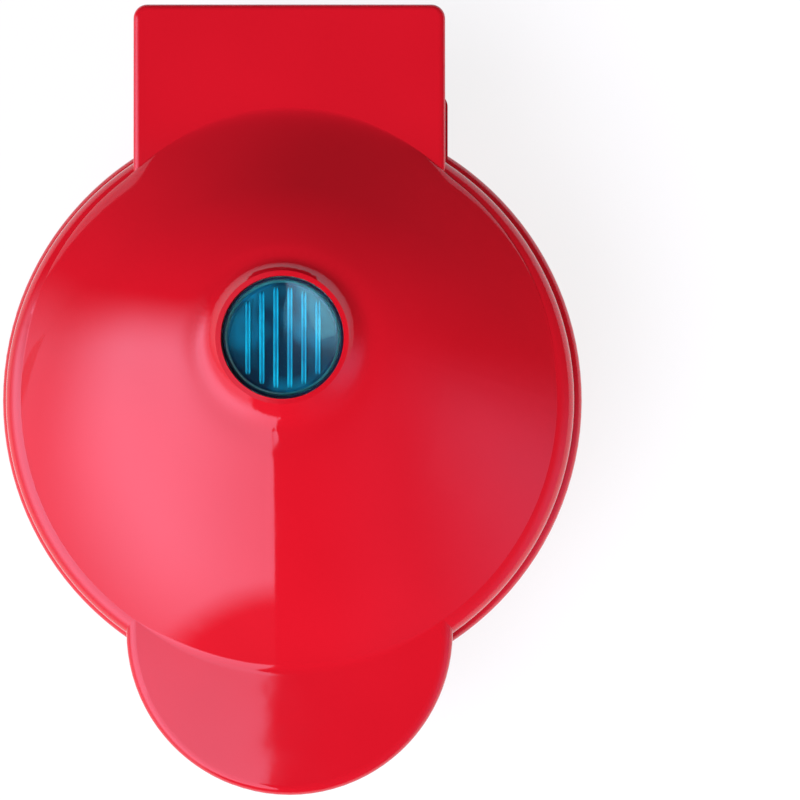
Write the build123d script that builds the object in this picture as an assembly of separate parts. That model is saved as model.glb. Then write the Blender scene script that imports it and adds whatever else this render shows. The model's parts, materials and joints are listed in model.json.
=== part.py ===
from build123d import *
import math
import os

# Round countertop waffle cooker with a hinged, domed lid. Millimetres, +Z up, front handle along -Y.
# The origin is on the table, on the axis of the round body.

# Overall body
body_r = 63.5            # widest radius, at the rim of the base
handle_out = 20.9        # handle tip in front of the body
block_out = 20.9         # back of the lid block behind the body
wall = 2.2               # moulded wall of both shells
foot_h = 3.5             # rubber feet lift the base by this much
seam_z = 34.4            # flat top of the base rim
lid_gap = 0.3            # between the closed lid and the base rim
fit_gap = 0.1            # between pieces that drop into each other
seat_gap = 0.05          # under pieces that are pressed on a curved or painted seat

# Base outline
rim_h = 5.2              # height of the proud band round the base rim
rim_round_r = 2.6
rim_proud = 1.7          # how far the band stands out from the bowl below it
bowl_inset = 5.9         # where the straight bowl side would meet the bottom, inside the body radius
bowl_round_r = 6.0
base_block_wider = 0.75  # base block beside the lid block, on each side
base_handle_inset = 1.2  # the base handle is this much smaller than the lid handle
base_handle_t = 8.0

# Lid outline
skirt_inset = 2.2        # lid edge inside the rim band
skirt_draft = 0.5
shoulder_h = 10.3        # from the lid edge to the flat shoulder
shoulder_round_r = 4.4
dome_inset = 6.5         # dome foot inside the body radius
dome_h = 21.5
dome_power = 1.7         # fullness of the dome between a cone (1) and a bowl (2 and more)
dome_steps = 6
dome_root = -0.03        # share of the climb that is buried below the shoulder
dome_wall_drop = 2.6     # dome wall measured straight down
handle_r = 34.9
handle_edge_r = 2.4
block_half_w = 33.25
block_corner_r = 3.0
block_edge_r = 1.4

# Indicator lens and its lip
lens_setback = 12.6      # lens axis behind the body axis
lens_r = 12.0
lens_clear = 0.35
lens_t = 2.2
lens_flange_w = 2.0
lens_flange_t = 1.6
lens_sunk = 1.1          # lens face below the lip
lens_rib_pitch = 2.82
lens_rib_w = 1.1
lens_rib_h = 1.2
lens_rib_count = 6
lip_w = 1.05
lip_h = 2.6
flare_w = 5.6            # concave flare round the lip
flare_power = 2.2        # how late the flare turns up
flare_steps = (0.35, 0.65, 0.88, 1.0)
retainer_t = 2.0
retainer_step_t = 1.3    # ring that presses on the lens flange
retainer_screw_out = 1.8 # retainer screws outside the lens flange
retainer_edge = 1.7      # retainer rim outside its screws
retainer_boss_r = 2.6
cup_h = 7.2
cup_wall = 1.2
lamp_r = 2.5
lamp_len = 13.0
lamp_cradle_x = 3.8
lamp_lead_x = 8.0
lamp_lead_y = 5.0        # lamp leads behind the lens axis

# Cooking plates
plate_gap = 0.8          # between the two plate rims when closed
plate_inset = 6.5        # plate flange inside the body radius
plate_flange_t = 2.5
flange_w = 8.4           # plate flange round the cavity
cavity_draft = 3.0       # the cavity is this much narrower at its floor
cavity_depth = 6.5
cavity_wall = 2.2
peg_pitch = 15.8
peg_foot = 10.4
peg_top = 8.6
peg_h = 4.2
pegs_across = 6
post_r = 3.5
post_inset = 10.0        # screw posts inside the element ring
post_count = 3
ledge_t = 2.0
ledge_w = 5.6            # how far the ledge reaches under the plate flange

# Heating element and heat shield
element_d = 6.0
element_inset = 14.6     # element ring inside the cavity radius
element_gap_deg = 16.0   # half of the gap between the element's ends
element_leg = 7.0
tab_w = 6.3
tab_t = 0.8
tab_len = 6.0
shield_t = 0.8
shield_floor_inset = 8.1 # flat floor of the shield inside the cavity radius
shield_waist_out = 0.6   # waist of the shield outside the cavity radius
shield_waist_drop = 9.5
shield_neck_out = 0.8    # neck of the shield outside the ledge
shield_rim_w = 3.2
leg_clear = 1.0

# Screws
plate_screw_r = 2.0
plate_screw_grip = 4.6
case_screw_r = 1.5
case_screw_grip = 5.0
case_boss_r = 3.6
frame_screw_aside = 13.9 # front screws of the lid frame inside the handle's side
frame_screw_ahead = 15.5 # and in front of the centre of its round end
frame_screw_inset = 9.1  # rear screws of the lid frame inside the side of the lid block
frame_screw_gap = 6.4    # and in front of the rear wall of the base
small_screw_r = 1.0
small_screw_grip = 2.4
head_ratio = 1.85        # head radius over shank radius
head_t = 1.9             # plate screws
flat_head_t = 1.1        # case screws and small screws

# Hinge
hinge_inset = 10.9       # hinge axis in front of the back of the lid block
hinge_above_seam = 1.6
rear_wall_gap = 6.5      # rear wall of the base in front of the hinge axis; it also stops the opened lid
knuckle_r = 5.2
block_drop = 3.1         # rear skirt of the lid block below the seam
block_drop_front = 4.3   # how far that skirt reaches in front of the hinge axis
lug_x0 = 17.0
lug_t = 7.0
lug_side_gap = 0.4
pin_r = 2.0
pin_head_r = 3.2
pin_head_t = 1.5
pin_len = 12.6           # under the head
pin_fit = 0.05           # running fit of the pin in its bush, on the radius
bush_wall = 1.2
wire_cover_half_w = 9.0
wire_cover_half_len = 16.4
wire_cover_r = 6.3
wire_cover_t = 1.3
wire_cover_start_deg = 142.0
wire_cover_end_deg = 195.0

# Bottom cover and feet
cover_inset = 13.0       # bottom cover inside the body radius
cover_t = 2.2
cover_ledge_w = 2.2
cover_ledge_t = 2.0
cover_ledge_sunk = 0.8   # the cover's ledge runs this far into the bowl wall
cover_screw_inset = 4.2
cover_screw_count = 4
cover_screw_start_deg = 22.5
cover_boss_h = 11.0
vent_count = 12
vent_inset = 20.5
vent_len = 13.0
vent_w = 2.4
foot_r = 6.5
foot_neck_r = 2.6
foot_head_r = 4.0
foot_head_t = 1.4
front_foot_inset = 9.5   # front feet inside the cover's edge
front_foot_deg = 45.0
rear_foot_inset = 9.0    # rear feet inside the sides of the base block
rear_foot_ahead = 9.5    # and in front of its rear wall

# Electrical parts
thermostat_r = 7.2
thermostat_clear = 0.8
thermostat_tab_y = 5.6
strap_len = 31.0
strap_w = 8.0
strap_screw_x = 12.6
fuse_r = 2.0
fuse_len = 14.0
fuse_y = 19.0
clip_w = 5.0
clip_reach = 7.5
terminal_w = 30.0
terminal_d = 7.6
terminal_h = 11.0
terminal_ahead = 14.6    # terminal block in front of the rear wall
terminal_pitch = 9.0
terminal_bore_r = 1.4
terminal_insert_r = 2.4
terminal_seat = 2.0      # floor of the screw wells above the underside
terminal_screw_grip = 3.4
inlet_z = 16.0
inlet_bore_r = 3.3
inlet_neck_r = 4.6
inlet_flange_r = 6.2
inlet_flange_t = 1.5
inlet_catch = 0.9        # snap edge behind the wall, beyond the neck
inlet_catch_len = 1.6
connector_x = 20.0
connector_inset = 9.0    # in front of the element ring
connector_w = 14.0
connector_d = 7.0
connector_h = 6.0
lead_r = 1.0
lamp_lead_r = 0.7
harness_r = 1.1
harness_hole_x = -6.0
harness_end_gap = 0.3    # between the two halves of the harness, on the hinge axis

# Places that follow from the sizes above
lid_edge_z = seam_z + lid_gap
shoulder_z = lid_edge_z + shoulder_h
dome_top_z = shoulder_z + dome_h
lip_z = dome_top_z + lip_h
skirt_r = body_r - skirt_inset
dome_foot_r = body_r - dome_inset
bowl_foot_r = body_r - bowl_inset
plate_flange_r = body_r - plate_inset
cavity_r = plate_flange_r - flange_w
ledge_r = plate_flange_r - ledge_w
element_ring_r = cavity_r - element_inset
post_ring_r = element_ring_r - post_inset
shield_floor_r = cavity_r - shield_floor_inset
shield_waist_r = cavity_r + shield_waist_out
shield_neck_r = ledge_r + shield_neck_out
shield_rim_r = shield_neck_r + shield_rim_w
cover_r = body_r - cover_inset
cover_ledge_out_r = bowl_foot_r + cover_ledge_sunk
cover_screw_ring_r = cover_r - cover_screw_inset
vent_ring_r = cover_r - vent_inset
front_foot_x = (cover_r - front_foot_inset) * math.cos(math.radians(front_foot_deg))
front_foot_y = (front_foot_inset - cover_r) * math.sin(math.radians(front_foot_deg))
lip_bore_r = lens_r + lens_clear
lip_r = lip_bore_r + lip_w
handle_reach = body_r + handle_out
block_reach = body_r + block_out
handle_y = handle_r - handle_reach
hinge_y = block_reach - hinge_inset
hinge_z = seam_z + hinge_above_seam
base_block_reach = hinge_y - rear_wall_gap
base_block_half_w = block_half_w + base_block_wider
rear_foot_x = base_block_half_w - rear_foot_inset
rear_foot_y = base_block_reach - rear_foot_ahead
terminal_y = base_block_reach - terminal_ahead
connector_y = element_ring_r - connector_inset
clip_screw_y = fuse_y + clip_reach - 2
lower_land_z = seam_z + lid_gap / 2 - plate_gap / 2
upper_land_z = lower_land_z + plate_gap
plate_t = cavity_depth + cavity_wall
shield_drop = plate_t + element_d + 2 * fit_gap
cover_top_z = foot_h + cover_t
lens_face_z = lip_z - lens_sunk
lens_seat_z = lens_face_z - lens_t
retainer_top_z = lens_seat_z - lens_flange_t - seat_gap
retainer_plate_z = retainer_top_z - retainer_step_t
cup_top_z = retainer_plate_z - retainer_t
lens_flange_r = lens_r + lens_flange_w
retainer_screw_r = lens_flange_r + retainer_screw_out
retainer_r = retainer_screw_r + retainer_edge
lower_shield_z = lower_land_z - shield_drop - shield_t
upper_shield_z = upper_land_z + shield_drop + shield_t
lamp_z = cup_top_z - cup_h + cup_wall + lamp_r + 0.8
harness_hole_z = hinge_z - knuckle_r - 0.5
notch_z = hinge_z - knuckle_r - 3.5
block_foot_z = seam_z - block_drop
terminal_z = cover_top_z + cover_ledge_t


def bar(x0, x1, y0, y1, z0, z1):
    """Box between two corners."""
    return Pos((x0 + x1) / 2, (y0 + y1) / 2, (z0 + z1) / 2) * Box(x1 - x0, y1 - y0, z1 - z0)


def disc(r, z0, z1, x=0.0, y=0.0):
    """Upright cylinder between two heights."""
    return Pos(x, y, (z0 + z1) / 2) * Cylinder(r, z1 - z0)


def cross_rod(r, x0, x1, y, z):
    """Cylinder along X."""
    return Pos((x0 + x1) / 2, y, z) * Rot(0, 90, 0) * Cylinder(r, x1 - x0)


def ring(r_out, r_in, z0, z1, x=0.0, y=0.0):
    return disc(r_out, z0, z1, x, y) - disc(r_in, z0 - 1, z1 + 1, x, y)


def turned(points, radii, x=0.0, y=0.0):
    """Solid of revolution about an upright axis, from a closed outline of (radius, height) points."""
    outline = FilletPolyline(*[(r, 0, z) for r, z in points], radius=radii, close=True)
    return Pos(x, y, 0) * revolve(make_face(outline.edges()), Axis.Z)


def around(count, ring_r, start_deg=0.0):
    """Evenly spaced places on a ring round the body axis."""
    for i in range(count):
        angle = math.radians(start_deg + 360 * i / count)
        yield ring_r * math.cos(angle), ring_r * math.sin(angle)


def screw(r, grip, x, y, z, head_h=flat_head_t, up=1):
    """Screw whose head rests on height z; its shank points up, or down where up is -1."""
    shank = disc(r, min(z, z + up * grip), max(z, z + up * grip), x, y)
    crown = z - up * head_h
    head = disc(r * head_ratio, min(z, crown), max(z, crown), x, y)
    rim = head.edges().filter_by(GeomType.CIRCLE).group_by(Axis.Z)[0 if up > 0 else -1]
    head = fillet(rim, head_h * 0.4)
    slot_half = head_h * 0.4
    slot = bar(x - 2 * r, x + 2 * r, y - r * 0.2, y + r * 0.2, crown - slot_half, crown + slot_half)
    return shank + head - slot


def wire(points, r):
    """Insulated lead along straight runs joined by the largest arcs that the runs allow."""
    places = [Vector(*p) for p in points]
    radii = []
    for before, here, after in zip(places, places[1:], places[2:]):
        run_in = here - before
        run_out = after - here
        half_turn = math.radians(run_in.get_angle(run_out)) / 2
        radii.append(0.45 * min(run_in.length, run_out.length) / math.tan(half_turn))
    path = FilletPolyline(*points, radius=radii)
    section = Plane(origin=path @ 0, z_dir=path % 0) * Circle(r)
    return sweep(section, path=path)


def save(name, solid):
    export_step(solid, f"parts/{name}.step")


# Lid shell and the pieces of its outline
def dome(inset, drop, flare=False):
    """Oblique dome: its circles shrink and slide back from the body axis to the lens axis."""
    span = dome_foot_r - lip_r

    def height(climb):
        return shoulder_z + dome_h * (1 - (1 - climb) ** dome_power)

    # The first circle lies a little below the shoulder, inside the skirt
    climbs = [dome_root]
    last = 1 - flare_w / span if flare else 1.0
    for i in range(dome_steps + 1):
        climbs.append(last * i / dome_steps)
    heights = [height(climb) for climb in climbs]
    if flare:
        for step in flare_steps:
            climbs.append(last + (1 - last) * step)
            heights.append(height(last) + (lip_z - height(last)) * step ** flare_power)
    circles = []
    for climb, z in zip(climbs, heights):
        circles.append(Pos(0, lens_setback * climb, z - drop) * Circle(dome_foot_r - span * climb - inset))
    return loft(circles)


def skirt(inset, top_drop, foot_z):
    """Round lid wall from the seam up to the shoulder."""
    r = skirt_r - inset
    top = shoulder_z - top_drop
    points = [(0, foot_z), (r, foot_z), (r - skirt_draft, top), (0, top)]
    return turned(points, [0, 0, shoulder_round_r, 0])


def tongue(r, y_reach, z0, z1):
    """Front handle: a round tab on the body, seen from above."""
    y = r - y_reach
    return disc(r, z0, z1, 0, y) + bar(-r, r, y, 0, z0, z1)


def lid_block(inset, top_z, edge_z, foot_z, tail_reach):
    """Rear block of the lid, which covers the hinge; its tail hangs lower behind the base."""
    half_w = block_half_w - inset
    body = bar(-half_w, half_w, 0, block_reach - inset, edge_z, top_z)
    body += bar(-half_w, half_w, hinge_y - tail_reach, block_reach - inset, foot_z, top_z)
    return body


def frame_screw_places():
    """Screws that hold the lid frame in the lid shell."""
    for side in (-1, 1):
        yield side * (handle_r - frame_screw_aside), handle_y - frame_screw_ahead
        yield side * (block_half_w - frame_screw_inset), base_block_reach - frame_screw_gap


def retainer_screw_places():
    for x, y in around(3, retainer_screw_r, 90):
        yield x, y + lens_setback


def make_lid_shell():
    tab = tongue(handle_r, handle_reach, lid_edge_z, shoulder_z)
    tab = fillet(tab.faces().sort_by(Axis.Z)[-1].edges().filter_by(GeomType.CIRCLE), handle_edge_r)
    block = lid_block(0, shoulder_z, lid_edge_z, block_foot_z, block_drop_front)
    upright = block.edges().filter_by(Axis.Z).group_by(Axis.Y)[-1]
    block = fillet(upright, block_corner_r)
    outer = [edge for edge in block.faces().sort_by(Axis.Z)[-1].edges() if edge.center().Y > 1]
    block = fillet(outer, block_edge_r)
    shell = skirt(0, 0, lid_edge_z) + tab + block + dome(0, 0, flare=True)

    hollow = skirt(wall, wall, lid_edge_z - 1)
    hollow += tongue(handle_r - wall, handle_reach - wall, lid_edge_z - 1, shoulder_z - wall)
    hollow += lid_block(wall, shoulder_z - wall, lid_edge_z - 1, block_foot_z - 1, block_drop_front + 1)
    hollow += dome(wall / 2, dome_wall_drop)
    shell -= hollow

    # Seat of the lens: the bore in the lip and the pocket for the flange below it
    for x, y in retainer_screw_places():
        shell += disc(retainer_boss_r, retainer_plate_z, dome_top_z - 1.6, x, y)
        shell -= disc(small_screw_r, retainer_plate_z - 1, retainer_plate_z + small_screw_grip, x, y)
    shell -= disc(lip_bore_r, cup_top_z, lip_z + 1, 0, lens_setback)
    shell -= disc(lens_flange_r + fit_gap, cup_top_z, lens_seat_z, 0, lens_setback)

    # Bosses for the lid frame, and the knuckles that carry the hinge bushes
    for x, y in frame_screw_places():
        shell += disc(case_boss_r, lid_edge_z + wall, shoulder_z - wall / 2, x, y)
        shell -= disc(case_screw_r, lid_edge_z, lid_edge_z + wall + case_screw_grip, x, y)
    for side in (-1, 1):
        near = side * (lug_x0 + lug_t + lug_side_gap)
        far = side * (block_half_w - wall / 2)
        x0, x1 = min(near, far), max(near, far)
        shell += cross_rod(knuckle_r, x0, x1, hinge_y, hinge_z)
        shell += bar(x0, x1, hinge_y - knuckle_r, hinge_y + knuckle_r, hinge_z, shoulder_z - wall / 2)
        bore_end = side * (block_half_w - wall)
        shell -= cross_rod(pin_r + bush_wall, min(near - side, bore_end), max(near - side, bore_end),
                           hinge_y, hinge_z)
    return shell


def make_lid_frame():
    """Flat inner frame of the lid: closes its underside and carries the upper plate on its ledge."""
    r = skirt_r - wall - fit_gap - skirt_draft
    ledge_z = upper_land_z + plate_flange_t
    flat = tongue(handle_r - wall - fit_gap, handle_reach - wall - fit_gap, lid_edge_z, lid_edge_z + wall)
    half_w = block_half_w - wall - fit_gap
    flat += bar(-half_w, half_w, 0, base_block_reach - 1.4, lid_edge_z, lid_edge_z + wall)
    frame = disc(r, lid_edge_z, ledge_z + ledge_t) + flat
    frame -= disc(plate_flange_r + fit_gap, lid_edge_z - 1, ledge_z)
    frame -= disc(ledge_r, lid_edge_z - 1, ledge_z + ledge_t + 1)
    for x, y in frame_screw_places():
        frame -= disc(case_screw_r + fit_gap, lid_edge_z - 1, lid_edge_z + wall + 1, x, y)
        frame -= disc(case_screw_r * head_ratio + fit_gap, lid_edge_z - 1, lid_edge_z + flat_head_t, x, y)
    return frame


# Base shell
def make_base_shell():
    r_side = body_r - rim_proud
    band_z = seam_z - rim_h
    shell = turned(
        [(0, seam_z), (body_r, seam_z), (body_r, band_z), (r_side, band_z - 1), (bowl_foot_r, foot_h),
         (0, foot_h)],
        [0, rim_round_r, 1.0, 0.5, bowl_round_r, 0])
    block = bar(-base_block_half_w, base_block_half_w, 0, base_block_reach, foot_h, seam_z)
    block = fillet(block.edges().filter_by(Axis.Z).group_by(Axis.Y)[-1], block_corner_r)
    handle_z = seam_z - base_handle_t
    handle = tongue(handle_r - base_handle_inset, handle_reach - base_handle_inset, handle_z, seam_z)
    foot_edge = handle.faces().sort_by(Axis.Z)[0].edges().filter_by(GeomType.CIRCLE)
    handle = fillet(foot_edge, handle_edge_r)
    shell += block + handle

    # The hollow bowl, the hollow block and the hollow under the handle
    ledge_z = lower_land_z - plate_flange_t
    hollow = turned(
        [(0, ledge_z - ledge_t), (r_side - wall, ledge_z - ledge_t), (r_side - wall, band_z - 1),
         (bowl_foot_r - wall, cover_top_z + cover_ledge_t), (0, cover_top_z + cover_ledge_t)],
        [0, 0, 0, bowl_round_r - wall, 0])
    half_w = base_block_half_w - wall
    hollow += bar(-half_w, half_w, 0, base_block_reach - wall, cover_top_z, seam_z - wall)
    hollow -= ring(cover_ledge_out_r, cover_r - cover_ledge_w, cover_top_z, cover_top_z + cover_ledge_t)
    inset = base_handle_inset + wall
    under = tongue(handle_r - inset, handle_reach - inset, handle_z - 1, seam_z - wall)
    under -= disc(body_r, 0, seam_z)
    hollow += under
    hollow += disc(plate_flange_r + fit_gap, ledge_z, seam_z + 1)
    hollow += disc(ledge_r, ledge_z - ledge_t - 1, seam_z + 1)
    hollow += disc(cover_r - cover_ledge_w, foot_h - 1, ledge_z - ledge_t)
    hollow += disc(cover_r + fit_gap, foot_h - 1, cover_top_z)
    shell -= hollow

    # Bosses for the bottom cover, and holes for the rear feet
    for x, y in around(cover_screw_count, cover_screw_ring_r, cover_screw_start_deg):
        boss = disc(case_boss_r + 0.6, cover_top_z, cover_top_z + cover_boss_h, x, y)
        shell += boss
        shell -= disc(case_screw_r, cover_top_z - 1, cover_top_z + case_screw_grip + 1, x, y)
    for side in (-1, 1):
        shell -= disc(foot_neck_r, foot_h - 1, cover_top_z + 1, side * rear_foot_x, rear_foot_y)

    # Hinge lugs behind the rear wall, one each side
    for side in (-1, 1):
        x0, x1 = sorted((side * lug_x0, side * (lug_x0 + lug_t)))
        low = base_block_reach - wall
        web = Polyline((low, hinge_z - knuckle_r - 1), (hinge_y - 2.0, hinge_z - knuckle_r),
                       (hinge_y, hinge_z + knuckle_r), (hinge_y - 2.0, hinge_z + knuckle_r - 0.4),
                       (base_block_reach, seam_z + 1.2), (base_block_reach, seam_z), (low, seam_z),
                       close=True)
        face = make_face(Plane.YZ.offset(x0) * web)
        lug = extrude(face, lug_t) + cross_rod(knuckle_r, x0, x1, hinge_y, hinge_z)
        shell += lug
        shell -= cross_rod(pin_r, x0 - 1, x1 + 1, hinge_y, hinge_z)

    # Pilot holes of the terminal block
    for side in (-1, 1):
        x = side * terminal_pitch / 2
        shell -= disc(small_screw_r, terminal_z - 1.6, terminal_z + 1, x, terminal_y)

    # Notch for the wire cover, and the hole for the inlet bush
    shell -= bar(-wire_cover_half_w, wire_cover_half_w, base_block_reach - wall - 1, base_block_reach + 1,
                 notch_z, seam_z + 1)
    shell -= Pos(0, base_block_reach - wall / 2, inlet_z) * Rot(90, 0, 0) * Cylinder(inlet_neck_r, wall + 2)
    return shell


def make_bottom_cover():
    cover = disc(cover_r, foot_h, cover_top_z)
    for i in range(vent_count):
        angle = 360 * i / vent_count + 180 / vent_count
        slot = extrude(SlotOverall(vent_len, vent_w), cover_t + 2)
        cover -= Rot(0, 0, angle) * Pos(vent_ring_r, 0, foot_h - 1) * slot
    for x, y in around(cover_screw_count, cover_screw_ring_r, cover_screw_start_deg):
        cover -= disc(case_screw_r + fit_gap, foot_h - 1, cover_top_z + 1, x, y)
        cover -= disc(case_screw_r * head_ratio + fit_gap, foot_h - 1, foot_h + flat_head_t, x, y)
    for side in (-1, 1):
        cover -= disc(foot_neck_r, foot_h - 1, cover_top_z + 1, side * front_foot_x, front_foot_y)
    return cover


def make_foot(x, y):
    """Rubber foot pushed through the floor of the base."""
    top = cover_top_z + foot_head_t
    points = [(0, 0), (foot_r - 0.6, 0), (foot_r, foot_h), (foot_neck_r, foot_h),
              (foot_neck_r, cover_top_z), (foot_head_r, cover_top_z), (foot_head_r - 1, top), (0, top)]
    return turned(points, [0, 0.5, 0.3, 0, 0, 0.2, 0.2, 0], x, y)


# Cooking plate, element and shield, drawn with the plate rim at height 0 and the back below it
def make_plate():
    plate = disc(plate_flange_r, -plate_flange_t, 0)
    back_r = cavity_r + cavity_wall
    plate += turned([(0, 0), (back_r, 0), (back_r, -plate_flange_t), (back_r - cavity_draft, -plate_t),
                     (0, -plate_t)], [0, 0, 0, 1.0, 0])
    plate -= turned([(0, 0), (cavity_r, 0), (cavity_r - cavity_draft, -cavity_depth), (0, -cavity_depth)],
                    [0, 0, 1.0, 0])
    pegs = None
    first = -(pegs_across - 1) / 2 * peg_pitch
    for i in range(pegs_across):
        for j in range(pegs_across):
            x = first + i * peg_pitch
            y = first + j * peg_pitch
            if math.hypot(x, y) - peg_foot / 2 > cavity_r:
                continue
            peg = loft([Pos(x, y, -cavity_depth) * RectangleRounded(peg_foot, peg_foot, 1.2),
                        Pos(x, y, -cavity_depth + peg_h) * RectangleRounded(peg_top, peg_top, 1.0)])
            pegs = peg if pegs is None else pegs + peg
    plate += pegs & disc(cavity_r + cavity_wall / 2, -cavity_depth, 0)
    for x, y in around(post_count, post_ring_r, 30):
        plate += disc(post_r, -shield_drop, -plate_t, x, y)
        plate -= disc(plate_screw_r, -shield_drop - 1, -shield_drop + plate_screw_grip, x, y)
    return plate


def element_ends():
    for side in (-1, 1):
        angle = math.radians(90 + side * element_gap_deg)
        yield element_ring_r * math.cos(angle), element_ring_r * math.sin(angle)


def make_element():
    """Tubular heating element: an open ring with two legs and a flat tab on each."""
    r = element_d / 2
    z = -plate_t - fit_gap - r
    section = Plane.XZ * Pos(element_ring_r, z) * Circle(r)
    sweep_deg = 360 - 2 * element_gap_deg
    loop = Rot(0, 0, 90 + element_gap_deg) * revolve(section, Axis.Z, sweep_deg)
    for x, y in element_ends():
        loop += Pos(x, y, z) * Sphere(r)
        loop += disc(r, z - element_leg, z, x, y)
        loop += bar(x - tab_w / 2, x + tab_w / 2, y - tab_t / 2, y + tab_t / 2,
                    z - element_leg - tab_len, z - element_leg)
    return loop


def strap_screw_places():
    return (-strap_screw_x, 0), (strap_screw_x, 0)


def make_shield(for_thermostat):
    """Thin dish behind the element, clamped to the ledge by its rim."""
    top = -shield_drop
    rim_z = -plate_flange_t - ledge_t
    waist = -shield_waist_drop
    points = [(0, top), (shield_floor_r, top), (shield_waist_r, waist), (shield_neck_r, rim_z),
              (shield_rim_r, rim_z), (shield_rim_r, rim_z - shield_t),
              (shield_neck_r + shield_t, rim_z - shield_t),
              (shield_waist_r + shield_t, waist - shield_t / 2),
              (shield_floor_r + shield_t / 2, top - shield_t), (0, top - shield_t)]
    shield = turned(points, [0] * len(points))
    for x, y in around(post_count, post_ring_r, 30):
        shield -= disc(plate_screw_r + fit_gap, top - 2, top + 1, x, y)
    for x, y in element_ends():
        shield -= disc(element_d / 2 + leg_clear, top - 2, top + 1, x, y)
    if for_thermostat:
        shield -= disc(thermostat_r + thermostat_clear, top - 2, top + 1)
        for x, y in (*strap_screw_places(), (0, clip_screw_y)):
            shield -= disc(small_screw_r + fit_gap, top - 2, top + 1, x, y)
    return shield


def make_plate_screws():
    return [screw(plate_screw_r, plate_screw_grip, x, y, -shield_drop - shield_t, head_t)
            for x, y in around(post_count, post_ring_r, 30)]


lower = Pos(0, 0, lower_land_z)
upper = Pos(0, 0, upper_land_z) * Rot(0, 180, 0)


# Hinge pieces
def make_hinge_pin(side):
    inner = side * (lug_x0 - fit_gap)
    tip = inner + side * pin_len
    pin = cross_rod(pin_r, min(inner, tip), max(inner, tip), hinge_y, hinge_z)
    head = inner - side * pin_head_t
    pin += cross_rod(pin_head_r, min(inner, head), max(inner, head), hinge_y, hinge_z)
    return pin


def make_hinge_bush(side):
    near = side * (lug_x0 + lug_t + lug_side_gap)
    far = side * (block_half_w - wall)
    x0, x1 = min(near, far), max(near, far)
    return cross_rod(pin_r + bush_wall, x0, x1, hinge_y, hinge_z) \
        - cross_rod(pin_r + pin_fit, x0 - 1, x1 + 1, hinge_y, hinge_z)


def make_wire_cover():
    """Fills the notch in the rear wall and hides the harness where it crosses the hinge."""
    half_w = wire_cover_half_w - fit_gap
    plug = bar(-half_w, half_w, base_block_reach - wall, base_block_reach,
               notch_z + fit_gap, seam_z)
    outer = cross_rod(wire_cover_r, -wire_cover_half_len, wire_cover_half_len, hinge_y, hinge_z)
    tube = outer - cross_rod(wire_cover_r - wire_cover_t, -wire_cover_half_len - 1,
                             wire_cover_half_len + 1, hinge_y, hinge_z)
    far = 3 * wire_cover_r
    corners = [(0, 0)]
    steps = 3
    for i in range(steps + 1):
        angle = math.radians(wire_cover_start_deg
                             + (wire_cover_end_deg - wire_cover_start_deg) * i / steps)
        corners.append((far * math.cos(angle), far * math.sin(angle)))
    wedge = Pos(hinge_y, hinge_z) * Polyline(*corners, close=True)
    wedge_face = make_face(Plane.YZ.offset(-body_r) * wedge)
    tube &= extrude(wedge_face, 2 * body_r)
    web = bar(-half_w, half_w, base_block_reach - wall / 2, hinge_y - wire_cover_r + wire_cover_t,
              hinge_z - 2.6, hinge_z - 0.4)
    hole = Pos(harness_hole_x, base_block_reach - wall / 2, harness_hole_z) \
        * Rot(90, 0, 0) * Cylinder(harness_r + 0.3, wall + 2)
    return plug + web + tube - hole


# Lens group
def make_lens():
    lens = disc(lens_r, lens_seat_z - lens_flange_t, lens_face_z, 0, lens_setback)
    lens = fillet(lens.edges().filter_by(GeomType.CIRCLE).group_by(Axis.Z)[-1], 0.7)
    lens += disc(lens_flange_r, lens_seat_z - lens_flange_t, lens_seat_z - seat_gap, 0, lens_setback)
    under = lens_seat_z - lens_flange_t
    for i in range(lens_rib_count):
        x = (i - (lens_rib_count - 1) / 2) * lens_rib_pitch
        half = math.sqrt((lens_r - 1.4) ** 2 - x ** 2)
        lens += bar(x - lens_rib_w / 2, x + lens_rib_w / 2, lens_setback - half, lens_setback + half,
                    under - lens_rib_h, under)
    return lens


def make_lens_retainer():
    ring_in = lens_r - 0.9
    body = ring(retainer_r, ring_in, cup_top_z, retainer_plate_z, 0, lens_setback)
    body += ring(lens_flange_r, ring_in, retainer_plate_z, retainer_top_z, 0, lens_setback)
    for x, y in retainer_screw_places():
        body -= disc(small_screw_r + fit_gap, cup_top_z - 1, retainer_plate_z + 1, x, y)
    return body


def make_lamp_cup():
    """White cup under the lens that holds the lamp and throws its light up."""
    r = lens_r + 0.9
    floor_z = cup_top_z - cup_h
    cup = disc(r, floor_z, cup_top_z, 0, lens_setback)
    cup -= disc(r - cup_wall, floor_z + cup_wall, cup_top_z + 1, 0, lens_setback)
    reach = lamp_r + 1
    for side in (-1, 1):
        x = side * lamp_cradle_x
        cup += bar(x - 1, x + 1, lens_setback - reach, lens_setback + reach, floor_z + cup_wall / 2, lamp_z)
        cup -= disc(lamp_lead_r + 0.6, floor_z - 1, floor_z + cup_wall + 1,
                    side * lamp_lead_x, lens_setback + lamp_lead_y)
    cup -= cross_rod(lamp_r + fit_gap, -lamp_len * 0.6, lamp_len * 0.6, lens_setback, lamp_z)
    return cup


def make_lamp():
    glass = cross_rod(lamp_r, -lamp_len / 2, lamp_len / 2, lens_setback, lamp_z)
    return fillet(glass.edges().filter_by(GeomType.CIRCLE).group_by(Axis.X)[0], lamp_r * 0.6)


# Electrical parts of the base, below the lower shield
def make_thermostat():
    """Disc thermostat pressed on the back of the lower plate, with a tab on each side of its strap."""
    body = disc(thermostat_r, lower_shield_z, lower_land_z - plate_t - fit_gap)
    body = fillet(body.edges().filter_by(GeomType.CIRCLE).group_by(Axis.Z)[-1], 0.6)
    for side in (-1, 1):
        y = side * thermostat_tab_y
        body += bar(-tab_w / 4, tab_w / 4, y - tab_t / 2, y + tab_t / 2,
                    lower_shield_z - tab_len, lower_shield_z + 1)
    return body


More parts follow.
